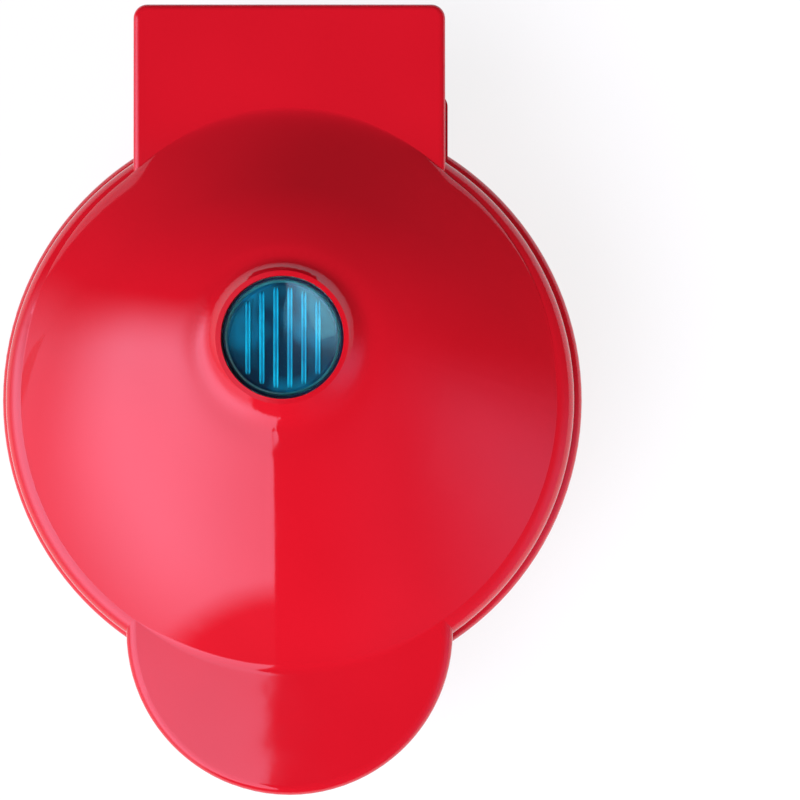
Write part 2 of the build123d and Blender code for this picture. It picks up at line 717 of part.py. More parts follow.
def make_thermostat_strap():
    strap = bar(-strap_len / 2, strap_len / 2, -strap_w / 2, strap_w / 2,
                lower_shield_z - tab_t, lower_shield_z)
    strap = fillet(strap.edges().filter_by(Axis.Z), strap_w * 0.3)
    for x, y in strap_screw_places():
        strap -= disc(small_screw_r + fit_gap, lower_shield_z - 2, lower_shield_z + 1, x, y)
    return strap


def make_thermal_fuse():
    z = lower_shield_z - fuse_r - tab_t - fit_gap
    fuse = cross_rod(fuse_r, -fuse_len / 2, fuse_len / 2, fuse_y, z)
    return fillet(fuse.edges().filter_by(GeomType.CIRCLE), fuse_r * 0.4)


def make_fuse_clip():
    """Steel band round the fuse, with an ear that is screwed to the shield."""
    z = lower_shield_z - fuse_r - tab_t - fit_gap
    half = clip_w / 2
    clip = cross_rod(fuse_r + fit_gap + tab_t, -half, half, fuse_y, z)
    clip += bar(-half, half, fuse_y, fuse_y + clip_reach, lower_shield_z - tab_t, lower_shield_z)
    clip -= cross_rod(fuse_r + fit_gap, -half - 1, half + 1, fuse_y, z)
    clip -= disc(small_screw_r + fit_gap, lower_shield_z - 2, lower_shield_z + 1, 0, clip_screw_y)
    return clip


def terminal_poles():
    return -terminal_pitch, 0.0, terminal_pitch


def make_terminal_block():
    block = bar(-terminal_w / 2, terminal_w / 2, terminal_y - terminal_d / 2, terminal_y + terminal_d / 2,
                terminal_z, terminal_z + terminal_h)
    block = fillet(block.edges().filter_by(Axis.Z), 0.8)
    for x in terminal_poles():
        block -= Pos(x, terminal_y, terminal_z + terminal_h / 2) * Rot(90, 0, 0) \
            * Cylinder(terminal_insert_r + fit_gap, terminal_d + 2)
    top = terminal_z + terminal_h + 1
    for side in (-1, 1):
        x = side * terminal_pitch / 2
        block -= disc(small_screw_r + fit_gap, terminal_z - 1, top, x, terminal_y)
        block -= disc(small_screw_r * head_ratio + fit_gap, terminal_z + terminal_seat, top, x, terminal_y)
    return block


def make_terminal_inserts():
    """Brass sleeves that join the leads of each pole."""
    tube = Cylinder(terminal_insert_r, terminal_d) - Cylinder(terminal_bore_r, terminal_d + 1)
    sleeve = Rot(90, 0, 0) * tube
    return [Pos(x, terminal_y, terminal_z + terminal_h / 2) * sleeve for x in terminal_poles()]


def make_inlet_bush():
    """Snap-in bush that lines the cord hole in the rear wall."""
    y = base_block_reach
    inner_y = y - wall - inlet_catch_len
    points = [(inlet_bore_r, y + inlet_flange_t), (inlet_flange_r, y + inlet_flange_t), (inlet_flange_r, y),
              (inlet_neck_r - fit_gap, y), (inlet_neck_r - fit_gap, y - wall),
              (inlet_neck_r + inlet_catch, y - wall), (inlet_neck_r, inner_y), (inlet_bore_r, inner_y)]
    bush = turned(points, [0.4, 0.7, 0, 0, 0, 0, 0, 0.3])
    return Pos(0, 0, inlet_z) * Rot(-90, 0, 0) * bush


def make_lid_connector():
    """Connector block on the upper shield, where the harness meets the leads of the lid."""
    return fillet(bar(connector_x - connector_w / 2, connector_x + connector_w / 2,
                      connector_y - connector_d / 2, connector_y + connector_d / 2,
                      upper_shield_z, upper_shield_z + connector_h).edges(), 0.7)


# Leads, each a hand-chosen route that leaves and meets its two ends squarely
def base_leads():
    pole_z = terminal_z + terminal_h / 2
    pole_y = terminal_y - terminal_d / 2 + 1.5
    tab_y = thermostat_tab_y + tab_t / 2 + seat_gap
    tab_z = lower_shield_z - tab_len * 0.6
    fuse_z = lower_shield_z - fuse_r - tab_t - fit_gap
    fuse_x = fuse_len / 2 + seat_gap
    leg_x, leg_y = max(element_ends())
    leg_z = lower_shield_z - element_leg - 0.6
    leg_side = tab_t / 2 + seat_gap
    yield "lead_supply", [(-terminal_pitch, pole_y, pole_z), (-terminal_pitch, pole_y - 6, pole_z),
                          (-15, leg_y + 1.4, pole_z - 1), (-13, fuse_y + 1, pole_z - 1.6),
                          (-2, 12.6, tab_z - 1), (0, 9, tab_z), (0, tab_y, tab_z)]
    yield "lead_link", [(0, -tab_y, tab_z), (0, -9, tab_z), (-9, -15, tab_z - 2), (-19, -6, tab_z - 2.4),
                        (-19, 9, tab_z), (-14, fuse_y - 1, fuse_z - 0.4), (-10.6, fuse_y, fuse_z),
                        (-fuse_x, fuse_y, fuse_z)]
    yield "lead_fused", [(fuse_x, fuse_y, fuse_z), (11, fuse_y, fuse_z), (12, fuse_y + 5, leg_z + 2),
                         (leg_x, leg_y - 4, leg_z), (leg_x, leg_y - leg_side, leg_z)]
    yield "lead_return", [(0, pole_y, pole_z), (0, pole_y - 5, pole_z), (-4, leg_y + 6.9, leg_z),
                          (-leg_x, leg_y + 4.3, leg_z), (-leg_x, leg_y + leg_side, leg_z)]


def lid_leads():
    side_x = connector_x - connector_w / 2 - seat_gap
    mid_z = upper_shield_z + connector_h / 2
    low_z = upper_shield_z + 1.6
    leg_x, leg_y = max(element_ends())
    leg_z = upper_shield_z + element_leg
    tab_y = leg_y - tab_t / 2 - seat_gap
    yield "lid_lead_right", [(side_x, connector_y + 1, mid_z + 1.2),
                             (side_x - 2.4, connector_y + 1, mid_z + 1.2),
                             (leg_x, tab_y - 3.6, leg_z), (leg_x, tab_y, leg_z)]
    yield "lid_lead_left", [(side_x, connector_y + 2.2, low_z), (7, connector_y + 2.6, low_z),
                            (-3, tab_y - 3.6, low_z + 0.4), (-leg_x, tab_y - 3.4, leg_z),
                            (-leg_x, tab_y, leg_z)]


def lamp_leads():
    below = cup_top_z - cup_h - 1.4
    y = lens_setback + lamp_lead_y
    side_x = connector_x - connector_w / 2 - seat_gap
    for x, end_y in ((lamp_lead_x, connector_y - 2.4), (-lamp_lead_x, connector_y - 0.8)):
        yield [(x, y, lamp_z - 2), (x, y, below), (x + 2, end_y - 2, below + 0.1),
               (side_x - 2.2, end_y, below + 0.2), (side_x, end_y, below + 0.2)]


def base_harness():
    top = terminal_z + terminal_h + seat_gap
    return [(harness_hole_x, terminal_y, top), (harness_hole_x, terminal_y, top + 5),
            (harness_hole_x, base_block_reach - 8.4, harness_hole_z),
            (harness_hole_x, base_block_reach + 3.2, harness_hole_z),
            (harness_hole_x + 0.8, hinge_y, hinge_z), (-harness_end_gap / 2, hinge_y, hinge_z)]


def lid_harness():
    roof = shoulder_z - wall - harness_r - 0.15
    end_z = upper_shield_z + connector_h / 2
    end_y = connector_y + connector_d / 2 + seat_gap
    return [(harness_end_gap / 2, hinge_y, hinge_z), (5.6, hinge_y, hinge_z), (6.6, hinge_y - 0.4, roof),
            (7, dome_foot_r + 7, roof), (8.8, dome_foot_r - 1.6, roof),
            (9.2, dome_foot_r - 3.4, roof + 0.35), (11, dome_foot_r - 8, roof + 5.15),
            (14.4, dome_foot_r - 18, end_z - 0.45),
            (connector_x - 2, end_y + 4.4, end_z), (connector_x - 2, end_y, end_z)]


os.makedirs("parts", exist_ok=True)

save("lid_shell", make_lid_shell())
save("lid_frame", make_lid_frame())
save("base_shell", make_base_shell())
save("bottom_cover", make_bottom_cover())
plate = make_plate()
save("lower_plate", lower * plate)
save("upper_plate", upper * plate)
element = make_element()
save("lower_element", lower * element)
save("upper_element", upper * element)
save("lower_heat_shield", lower * make_shield(True))
save("upper_heat_shield", upper * make_shield(False))
save("lower_plate_screws", Compound(children=[lower * s for s in make_plate_screws()]))
save("upper_plate_screws", Compound(children=[upper * s for s in make_plate_screws()]))
for name, side in (("left", -1), ("right", 1)):
    save(f"hinge_pin_{name}", make_hinge_pin(side))
    save(f"hinge_bush_{name}", make_hinge_bush(side))
    save(f"foot_front_{name}", make_foot(side * front_foot_x, front_foot_y))
    save(f"foot_rear_{name}", make_foot(side * rear_foot_x, rear_foot_y))
save("wire_cover", make_wire_cover())
save("cord_inlet_bush", make_inlet_bush())
save("indicator_lens", make_lens())
save("lens_retainer", make_lens_retainer())
save("lamp_cup", make_lamp_cup())
save("pilot_lamp", make_lamp())
save("lid_connector", make_lid_connector())
save("thermostat", make_thermostat())
save("thermostat_strap", make_thermostat_strap())
save("thermal_fuse", make_thermal_fuse())
save("fuse_clip", make_fuse_clip())
save("terminal_block", make_terminal_block())
save("terminal_inserts", Compound(children=make_terminal_inserts()))
save("bottom_cover_screws", Compound(children=[
    screw(case_screw_r, case_screw_grip + cover_t - flat_head_t, x, y, foot_h + flat_head_t)
    for x, y in around(cover_screw_count, cover_screw_ring_r, cover_screw_start_deg)]))
save("lid_frame_screws", Compound(children=[
    screw(case_screw_r, case_screw_grip + wall - flat_head_t, x, y, lid_edge_z + flat_head_t)
    for x, y in frame_screw_places()]))
save("lens_retainer_screws", Compound(children=[
    screw(small_screw_r, retainer_t + small_screw_grip, x, y, cup_top_z)
    for x, y in retainer_screw_places()]))
save("thermostat_screws", Compound(children=[
    screw(small_screw_r, small_screw_grip, x, y, lower_shield_z - tab_t) for x, y in strap_screw_places()]))
save("fuse_clip_screw", screw(small_screw_r, small_screw_grip, 0, clip_screw_y, lower_shield_z - tab_t))
save("terminal_screws", Compound(children=[
    screw(small_screw_r, terminal_screw_grip, side * terminal_pitch / 2, terminal_y,
          terminal_z + terminal_seat, up=-1) for side in (-1, 1)]))
for name, route in (*base_leads(), *lid_leads()):
    save(name, wire(route, lead_r))
save("lamp_leads", Compound(children=[wire(route, lamp_lead_r) for route in lamp_leads()]))
save("base_harness", wire(base_harness(), harness_r))
save("lid_harness", wire(lid_harness(), harness_r))
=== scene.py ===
import json
import math
import bmesh
import bpy
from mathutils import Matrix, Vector


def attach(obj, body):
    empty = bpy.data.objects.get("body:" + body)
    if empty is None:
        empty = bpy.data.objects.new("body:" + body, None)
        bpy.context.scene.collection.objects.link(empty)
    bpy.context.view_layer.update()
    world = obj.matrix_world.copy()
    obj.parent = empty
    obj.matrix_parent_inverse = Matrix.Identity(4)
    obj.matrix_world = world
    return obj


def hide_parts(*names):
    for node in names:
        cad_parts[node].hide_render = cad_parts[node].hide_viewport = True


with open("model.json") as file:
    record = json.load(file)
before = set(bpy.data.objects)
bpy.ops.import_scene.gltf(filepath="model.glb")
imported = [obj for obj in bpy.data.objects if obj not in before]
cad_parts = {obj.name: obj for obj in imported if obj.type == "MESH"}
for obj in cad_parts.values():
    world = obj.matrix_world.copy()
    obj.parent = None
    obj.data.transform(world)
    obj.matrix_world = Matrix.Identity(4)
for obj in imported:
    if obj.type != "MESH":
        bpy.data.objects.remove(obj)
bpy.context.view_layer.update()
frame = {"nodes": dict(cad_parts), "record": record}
nodes = frame["nodes"]

# Metres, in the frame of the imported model: +Z up, the front handle along -Y, origin on the table
MM = 0.001
IMAGE_PX = 800

# Where the photograph puts the object
RIM_SCALE = 0.2181 * MM       # metres per pixel, in the plane of the body's rim
RIM_HEIGHT = 34.4 * MM
BODY_CENTRE_PX = (291.8, 400.2)
CAMERA_ABOVE_RIM = 0.42
SENSOR_MM = 36.0

# Outline of the lid, the same as that of its solid
SHOULDER_Z = 45.0 * MM
DOME_FOOT_R = 57.0 * MM
DOME_SPAN = 43.6 * MM
DOME_H = 21.5 * MM
DOME_POWER = 1.7

# Lens: a clear dished window over a ribbed core, whose dark blue is painted shade and whose rib edges are painted
# glints
LENS_Y = 12.6 * MM
LENS_FACE_Z = 68.0 * MM
LENS_FOOT_Z = 64.2 * MM
LENS_FLANGE_R = 14.0 * MM
LENS_FLANGE_Z = 65.7 * MM
WINDOW_R = 11.7 * MM
WINDOW_DISH = 0.35 * MM
WINDOW_T = 1.1 * MM
WINDOW_EDGE_ROUND = 0.5 * MM
WINDOW_EDGE_W = 1.0 * MM
WINDOW_SKIRT_T = 0.6 * MM
CORE_R = 12.2 * MM
CORE_RIM_Z = 66.6 * MM
CORE_BED_Z = 65.4 * MM
CORE_BED_GAP = 0.65 * MM      # from the window's side wall
CORE_BED_EDGE = 0.5 * MM      # chamfer round the bed
RIB_COUNT = 6
RIB_PITCH = 2.82 * MM
RIB_HALF_W = 0.55 * MM
RIB_TOP_Z = 66.0 * MM
RIB_END_GAP = 1.5 * MM        # from a rib's end to the window's side wall
# Ridges on each rib that carry the painted glints
RIDGE_R = 0.17 * MM
RIDGE_ASIDE = 0.34 * MM
ROUND_STEPS = 144

# Concave strips over the foot of the dome: middle and reach in degrees, width on the flat at the ends and in the
# middle, and how far they climb the dome
BLENDS = {
    "block_blend": (0, 84, 1.5 * MM, 5.2 * MM, 0.40),
    "handle_blend": (180, 34.9, 1.2 * MM, 1.8 * MM, 0.02),
}
BLEND_GROW_DEG = 36           # angle from the middle over which the width falls to that of the ends
BLEND_PULL = 0.75
BLEND_T = 0.9 * MM
BLEND_STEPS = (160, 16)       # along and across

# Studio floor: distance from the object, brightness (painted falloff of the light), share that shows as plain white
FLOOR_NEAR = (0.16, 0.90, 0.80)
FLOOR_FAR = (0.80, 0.62, 0.40)
FLOOR_HALF = 12.0

# Studio panels: the world's light by direction, whose cosines to the east, north and zenith bound them softly
AMBIENT_COLOUR = (0.08, 0.075, 0.075)
PANEL_COLOUR = (4.1, 3.9, 4.8)
PANEL_LEAN = (-0.19, -0.40, -0.066, -0.104)   # its straight east edge: north from and to, and the edge's place there
PANEL_EDGE = (0.001, -0.003)
PANEL_SLANT = 0.40                            # of its soft rear edge, further back the more it lies to the west
PANEL_REAR = (0.10, -0.27)
PANEL_FRONT = (-0.82, -0.885, 1.0, 0.04)
PANEL_LOW = (0.05, 0.55, 0.30, 1.0)
PANEL_WEST = (-0.10, -0.65, 0.70, 1.0)
RIGHT_COLOUR = (0.60, 0.50, 0.80)
RIGHT_EAST, RIGHT_NORTH = (0.45, 0.98), (0.20, -0.35)
FILL_COLOUR = (0.11, 0.09, 0.15)
FILL_EAST, FILL_NORTH = (0.0, 0.45), (0.15, -0.30)

# Lamps: place and watts
LAMPS = {
    "front_lamp": ((0.42, -0.16, 0.26), 1.42),
    "side_lamp": ((-0.20, -0.12, 0.40), 0.66),
}
LAMP_AIM = (0.0, -0.04, 0.04)
LAMP_SIDE = 0.25


# Materials: each function builds one finish from nodes
def new_material(name):
    made = bpy.data.materials.new(name)
    made.use_nodes = True
    tree = made.node_tree
    shader = tree.nodes["Principled BSDF"]
    return made, tree, shader


def object_noise(tree, scale, detail=3.0, roughness=0.5, stretch=(1, 1, 1)):
    """Noise fixed to the object, in its own metres."""
    place = tree.nodes.new("ShaderNodeTexCoord")
    mapping = tree.nodes.new("ShaderNodeMapping")
    mapping.inputs["Scale"].default_value = stretch
    noise = tree.nodes.new("ShaderNodeTexNoise")
    noise.inputs["Scale"].default_value = scale
    noise.inputs["Detail"].default_value = detail
    noise.inputs["Roughness"].default_value = roughness
    tree.links.new(place.outputs["Object"], mapping.inputs["Vector"])
    tree.links.new(mapping.outputs["Vector"], noise.inputs["Vector"])
    return noise.outputs["Fac"]


def remap(tree, value, low, high, start=0.3, end=0.7, smooth=False):
    """Spreads a value between two limits."""
    node = tree.nodes.new("ShaderNodeMapRange")
    node.interpolation_type = "SMOOTHSTEP" if smooth else "LINEAR"
    node.inputs["From Min"].default_value = start
    node.inputs["From Max"].default_value = end
    node.inputs["To Min"].default_value = low
    node.inputs["To Max"].default_value = high
    tree.links.new(value, node.inputs["Value"])
    return node.outputs["Result"]


def math_node(tree, operation, first, second, clamp=False):
    node = tree.nodes.new("ShaderNodeMath")
    node.operation = operation
    node.use_clamp = clamp
    tree.links.new(first, node.inputs[0])
    tree.links.new(second, node.inputs[1])
    return node.outputs[0]


def blend_colours(tree, value, first, second, start=0.35, end=0.65):
    """Two colours, one for low values and one for high ones."""
    ramp = tree.nodes.new("ShaderNodeValToRGB")
    ramp.color_ramp.elements[0].position = start
    ramp.color_ramp.elements[0].color = (*first, 1)
    ramp.color_ramp.elements[1].position = end
    ramp.color_ramp.elements[1].color = (*second, 1)
    tree.links.new(value, ramp.inputs["Fac"])
    return ramp.outputs["Color"]


def add_bump(tree, shader, height, depth):
    """Relief of a given depth in metres."""
    bump = tree.nodes.new("ShaderNodeBump")
    bump.inputs["Strength"].default_value = 1.0
    bump.inputs["Distance"].default_value = depth
    tree.links.new(height, bump.inputs["Height"])
    tree.links.new(bump.outputs["Normal"], shader.inputs["Normal"])


def mottled(name, first, second, scale, rough, metallic=0.0, grain=0.0, grain_scale=900, stretch=(1, 1, 1)):
    """General finish: two close colours, uneven gloss and a fine grain."""
    made, tree, shader = new_material(name)
    shader.inputs["Metallic"].default_value = metallic
    patches = object_noise(tree, scale, stretch=stretch)
    tree.links.new(blend_colours(tree, patches, first, second), shader.inputs["Base Color"])
    fine = object_noise(tree, grain_scale, 4.0, 0.6, stretch)
    tree.links.new(remap(tree, fine, rough[0], rough[1]), shader.inputs["Roughness"])
    if grain:
        add_bump(tree, shader, fine, grain)
    return made


def red_gloss():
    """Glossy red moulding with a faint ripple."""
    made, tree, shader = new_material("red_gloss")
    patches = object_noise(tree, 26, 2.0)
    tree.links.new(blend_colours(tree, patches, (0.475, 0.0038, 0.0110), (0.505, 0.0044, 0.0125)),
                   shader.inputs["Base Color"])
    ripple = object_noise(tree, 140, 2.0, 0.4)
    tree.links.new(remap(tree, ripple, 0.03, 0.055), shader.inputs["Roughness"])
    shader.inputs["IOR"].default_value = 1.5
    shader.inputs["Specular Tint"].default_value = (1.0, 0.85, 1.0, 1)
    add_bump(tree, shader, ripple, 0.00001)
    return made


def non_stick():
    """Dark coating with fine mineral specks."""
    made, tree, shader = new_material("non_stick_coat")
    place = tree.nodes.new("ShaderNodeTexCoord")
    specks = tree.nodes.new("ShaderNodeTexVoronoi")
    specks.inputs["Scale"].default_value = 700
    tree.links.new(place.outputs["Object"], specks.inputs["Vector"])
    tree.links.new(blend_colours(tree, specks.outputs["Distance"], (0.16, 0.16, 0.165), (0.022, 0.022, 0.024),
                                 0.06, 0.16), shader.inputs["Base Color"])
    fine = object_noise(tree, 1500, 4.0, 0.6)
    tree.links.new(remap(tree, fine, 0.32, 0.46), shader.inputs["Roughness"])
    add_bump(tree, shader, fine, 0.00003)
    return made


def lens_blue():
    """Pale teal window moulding."""
    made, tree, shader = new_material("lens_blue")
    patches = object_noise(tree, 60, 2.0)
    tree.links.new(blend_colours(tree, patches, (0.26, 0.88, 0.95), (0.32, 0.91, 0.97)),
                   shader.inputs["Base Color"])
    shader.inputs["Roughness"].default_value = 0.02
    shader.inputs["IOR"].default_value = 1.45
    shader.inputs["Transmission Weight"].default_value = 1.0
    return made


def lens_bed_painted_light_and_shade():
    """Bed of the lens: its dark blue is painted shade of the well under the blue window, and the teal clouds in it are
    painted patches of light.
    """
    made, tree, shader = new_material("lens_bed_painted_light_and_shade")
    painted_light_patches = object_noise(tree, 130, 1.0, 0.3)
    # Painted shade and light: dark blue for the shaded well, teal clouds for patches of light
    tree.links.new(blend_colours(tree, painted_light_patches, (0.0, 0.014, 0.060), (0.0, 0.27, 0.42), 0.46, 0.74),
                   shader.inputs["Base Color"])
    shader.inputs["Roughness"].default_value = 0.35
    return made


def painted_glint_glow(name, first, second, glow):
    """Painted glints and glow on the ribs: a cyan that also glows, standing in for light refracted at their edges and
    in their bodies, though the pilot lamp is not lit.
    """
    made, tree, shader = new_material(name)
    streaks = object_noise(tree, 260, 2.0, 0.5, (1.0, 0.5, 1.0))
    colour = blend_colours(tree, streaks, first, second, 0.38, 0.62)
    tree.links.new(colour, shader.inputs["Base Color"])
    tree.links.new(colour, shader.inputs["Emission Color"])
    shader.inputs["Emission Strength"].default_value = glow
    shader.inputs["Roughness"].default_value = 0.2
    return made


def lamp_glass():
    """Pale glass of the pilot lamp."""
    made, tree, shader = new_material("lamp_glass")
    patches = object_noise(tree, 200, 2.0)
    tree.links.new(blend_colours(tree, patches, (0.75, 0.92, 1.0), (0.85, 0.97, 1.0)), shader.inputs["Base Color"])
    shader.inputs["Roughness"].default_value = 0.08
    shader.inputs["Transmission Weight"].default_value = 0.7
    return made


FINISHES = {
    "red_shell": red_gloss,
    "non_stick": non_stick,
    "blue_lens": lens_blue,
    "lamp_glass": lamp_glass,
    "element_steel": lambda: mottled("element_steel", (0.16, 0.14, 0.13), (0.30, 0.27, 0.25), 90, (0.35, 0.5), 1.0,
                                     0.00002),
    "screw_steel": lambda: mottled("screw_steel", (0.50, 0.50, 0.50), (0.62, 0.62, 0.63), 300, (0.22, 0.36), 1.0),
    "pin_steel": lambda: mottled("pin_steel", (0.58, 0.58, 0.59), (0.66, 0.66, 0.67), 300, (0.15, 0.26), 1.0,
                                 stretch=(0.1, 1, 1)),
    "bush_plastic": lambda: mottled("bush_plastic", (0.70, 0.69, 0.65), (0.76, 0.75, 0.71), 120, (0.4, 0.5)),
    "shield_aluminium": lambda: mottled("shield_aluminium", (0.62, 0.62, 0.63), (0.74, 0.74, 0.75), 60, (0.25, 0.4),
                                        1.0, 0.00002, stretch=(0.05, 1, 1)),
    "foot_rubber": lambda: mottled("foot_rubber", (0.028, 0.028, 0.029), (0.045, 0.045, 0.046), 200, (0.7, 0.85),
                                   grain=0.00004),
    "black_plastic": lambda: mottled("black_plastic", (0.018, 0.018, 0.019), (0.026, 0.026, 0.027), 90, (0.42, 0.56),
                                     grain=0.00004),
    "thermostat_ceramic": lambda: mottled("thermostat_ceramic", (0.70, 0.66, 0.58), (0.78, 0.75, 0.68), 150,
                                          (0.5, 0.65), grain=0.00002),
    "strap_steel": lambda: mottled("strap_steel", (0.50, 0.50, 0.50), (0.62, 0.62, 0.62), 200, (0.28, 0.42), 1.0),
    "fuse_steel": lambda: mottled("fuse_steel", (0.62, 0.58, 0.46), (0.72, 0.68, 0.56), 200, (0.25, 0.4), 1.0),
    "insert_brass": lambda: mottled("insert_brass", (0.66, 0.48, 0.20), (0.76, 0.58, 0.28), 250, (0.22, 0.35), 1.0),
    "white_plastic": lambda: mottled("white_plastic", (0.80, 0.80, 0.78), (0.86, 0.86, 0.84), 90, (0.35, 0.45)),
    "connector_ceramic": lambda: mottled("connector_ceramic", (0.78, 0.76, 0.70), (0.84, 0.82, 0.77), 150,
                                         (0.5, 0.62), grain=0.00002),
    "harness_sleeve": lambda: mottled("harness_sleeve", (0.70, 0.68, 0.62), (0.78, 0.76, 0.70), 300, (0.5, 0.65),
                                      grain=0.00003),
    "lamp_lead": lambda: mottled("lamp_lead", (0.74, 0.72, 0.66), (0.82, 0.80, 0.75), 300, (0.45, 0.6)),
    "heat_lead": lambda: mottled("heat_lead", (0.62, 0.58, 0.50), (0.72, 0.68, 0.60), 400, (0.55, 0.7),
                                 grain=0.00004),
}


def dress_cad_nodes():
    """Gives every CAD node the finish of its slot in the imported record."""
    made = {slot: build() for slot, build in FINISHES.items()}
    for part in frame["record"]["subparts"]:
        mesh = nodes[part["node"]].data
        mesh.materials.clear()
        mesh.materials.append(made[part["material_slot"]])
    return made


# Pieces made here
def finish_piece(name, mesh, finish):
    """Adds a piece that rides on the lid."""
    mesh.materials.append(finish)
    mesh.shade_smooth()
    piece = bpy.data.objects.new(name, mesh)
    bpy.context.scene.collection.objects.link(piece)
    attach(piece, "lid")
    return piece


def finish_mesh(build, name, sharp_deg):
    """Mesh of a closed shape, with its edges above an angle kept sharp."""
    bmesh.ops.recalc_face_normals(build, faces=build.faces)
    mesh = bpy.data.meshes.new(name)
    build.to_mesh(mesh)
    build.free()
    mesh.set_sharp_from_angle(angle=math.radians(sharp_deg))
    return mesh


def turned_mesh(name, outline, closed=False):
    """Closed round piece about the lens axis, from an outline that starts and ends on it or closes on itself."""
    build = bmesh.new()
    rings = []
    for r, z in outline:
        if r == 0:
            rings.append([build.verts.new((0, LENS_Y, z))] * ROUND_STEPS)
            continue
        ring = []
        for i in range(ROUND_STEPS):
            turn = math.tau * i / ROUND_STEPS
            ring.append(build.verts.new((r * math.cos(turn), LENS_Y + r * math.sin(turn), z)))
        rings.append(ring)
    if closed:
        rings.append(rings[0])
    for upper, lower in zip(rings, rings[1:]):
        for i in range(ROUND_STEPS):
            j = (i + 1) % ROUND_STEPS
            face = []
            for corner in (upper[i], lower[i], lower[j], upper[j]):
                if corner not in face:
                    face.append(corner)
            build.faces.new(face)
    return finish_mesh(build, name, 32)


def make_lens_window():
    """Dished window with a rounded edge, a side wall and the flange that holds it in the lid."""
    top_r = WINDOW_R - WINDOW_EDGE_ROUND
    skirt_r = WINDOW_R - WINDOW_SKIRT_T
    under = LENS_FACE_Z - WINDOW_DISH - WINDOW_T
    outline = []
    for i in range(9):
        r = top_r * i / 8
        outline.append((r, LENS_FACE_Z - WINDOW_DISH * (1 - (r / WINDOW_R) ** 2)))
    for i in range(1, 7):
        turn = math.radians(90 - 15 * i)
        outline.append((top_r + WINDOW_EDGE_ROUND * math.cos(turn),
                        LENS_FACE_Z - WINDOW_EDGE_ROUND + WINDOW_EDGE_ROUND * math.sin(turn)))
    outline += [(WINDOW_R, LENS_FLANGE_Z), (LENS_FLANGE_R, LENS_FLANGE_Z), (LENS_FLANGE_R, LENS_FOOT_Z),
                (skirt_r, LENS_FOOT_Z), (skirt_r, CORE_RIM_Z + 0.1 * MM), (WINDOW_R - WINDOW_EDGE_W, under), (0, under)]
    window = finish_piece("lens_window", turned_mesh("lens_window", outline), lens_blue())
    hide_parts("indicator_lens")


def make_lens_shade_ring():
    """Dark navy ring in the gap between the window and the lip: painted shade of that gap."""
    outer, inner = CORE_R, WINDOW_R + 0.04 * MM
    foot_z = LENS_FLANGE_Z + 0.03 * MM
    rounding = (outer - inner) / 2
    middle = (outer + inner) / 2
    section = []
    for i in range(13):
        turn = math.pi * i / 12
        section.append((middle + rounding * math.cos(turn), CORE_RIM_Z + rounding * math.sin(turn)))
    section += [(inner, foot_z), (outer, foot_z)]
    mesh = turned_mesh("lens_shade_ring", section, closed=True)
    # Painted shade: a dark navy ring standing for the shadow in the gap
    gap_shade = mottled("lens_gap_painted_shade", (0.0, 0.006, 0.040), (0.0, 0.012, 0.065), 300, (0.45, 0.6))
    finish_piece("lens_shade_ring", mesh, gap_shade)


def rib_mesh(name, half_w, top_z, foot_z, offsets, steps=10):
    """Bars with round tops and round ends, one for each rib and offset."""
    build = bmesh.new()
    for i in range(RIB_COUNT):
        middle = (i - (RIB_COUNT - 1) / 2) * RIB_PITCH
        half = math.sqrt((WINDOW_R - RIB_END_GAP) ** 2 - middle ** 2)
        for offset in offsets:
            x = middle + offset
            spine = []
            for k in range(25):
                along = -half + 2 * half * k / 24
                close = min(half - abs(along), half_w) / half_w
                spine.append((LENS_Y + along, math.sqrt(max(1 - (1 - close) ** 2, 0.0)) * half_w))
            rows = []
            for y, width in spine:
                width = max(width, 0.15 * half_w)
                row = []
                for j in range(steps + 1):
                    turn = math.pi * j / steps
                    z = top_z - half_w + width * math.sin(turn)
                    row.append(build.verts.new((x + width * math.cos(turn), y, z)))
                row.append(build.verts.new((x - width, y, foot_z)))
                row.append(build.verts.new((x + width, y, foot_z)))
                rows.append(row)
            count = len(rows[0])
            for first, second in zip(rows, rows[1:]):
                for j in range(count):
                    build.faces.new([first[j], second[j], second[(j + 1) % count], first[(j + 1) % count]])
            build.faces.new(rows[0])
            build.faces.new(rows[-1])
    return finish_mesh(build, name, 60)


def make_lens_core():
    """Bed under the window, painted dark blue for shade with patches of painted light, and six ribs with a faint
    painted glow, each with two ridges painted as bright glints.
    """
    bed_r = WINDOW_R - CORE_BED_GAP
    foot_z = LENS_FOOT_Z + 0.05 * MM
    outline = [(0, CORE_BED_Z), (bed_r - CORE_BED_EDGE, CORE_BED_Z), (bed_r, CORE_BED_Z + CORE_BED_EDGE),
               (bed_r, foot_z), (0, foot_z)]
    # Bed painted dark blue for shade, with patches of painted light
    finish_piece("lens_bed", turned_mesh("lens_bed", outline), lens_bed_painted_light_and_shade())
    # Rib bodies in a cyan that glows faintly: painted glow
    ribs = rib_mesh("lens_ribs", RIB_HALF_W, RIB_TOP_Z, CORE_BED_Z - 0.1 * MM, (0.0,))
    finish_piece("lens_ribs", ribs, painted_glint_glow("lens_rib_painted_glow", (0.0, 0.17, 0.29), (0.0, 0.34, 0.50), 0.08))
    # Two ridges on each rib, coloured bright and glowing: painted glints
    ridges = rib_mesh("lens_painted_glint_ridges", RIDGE_R, RIB_TOP_Z + 0.05 * MM, RIB_TOP_Z - RIB_HALF_W,
                      (-RIDGE_ASIDE, RIDGE_ASIDE), 6)
    finish_piece("lens_painted_glint_ridges", ridges,
                 painted_glint_glow("lens_ridge_painted_glint", (0.01, 0.40, 0.60), (0.02, 0.62, 0.82), 0.30))


def dome_point(climb, turn):
    """Point of the lid's dome: its circles slide back to the lens as they shrink."""
    r = DOME_FOOT_R - DOME_SPAN * climb
    z = SHOULDER_Z + DOME_H * (1 - (1 - climb) ** DOME_POWER)
    return Vector((r * math.sin(turn), LENS_Y * climb + r * math.cos(turn), z))


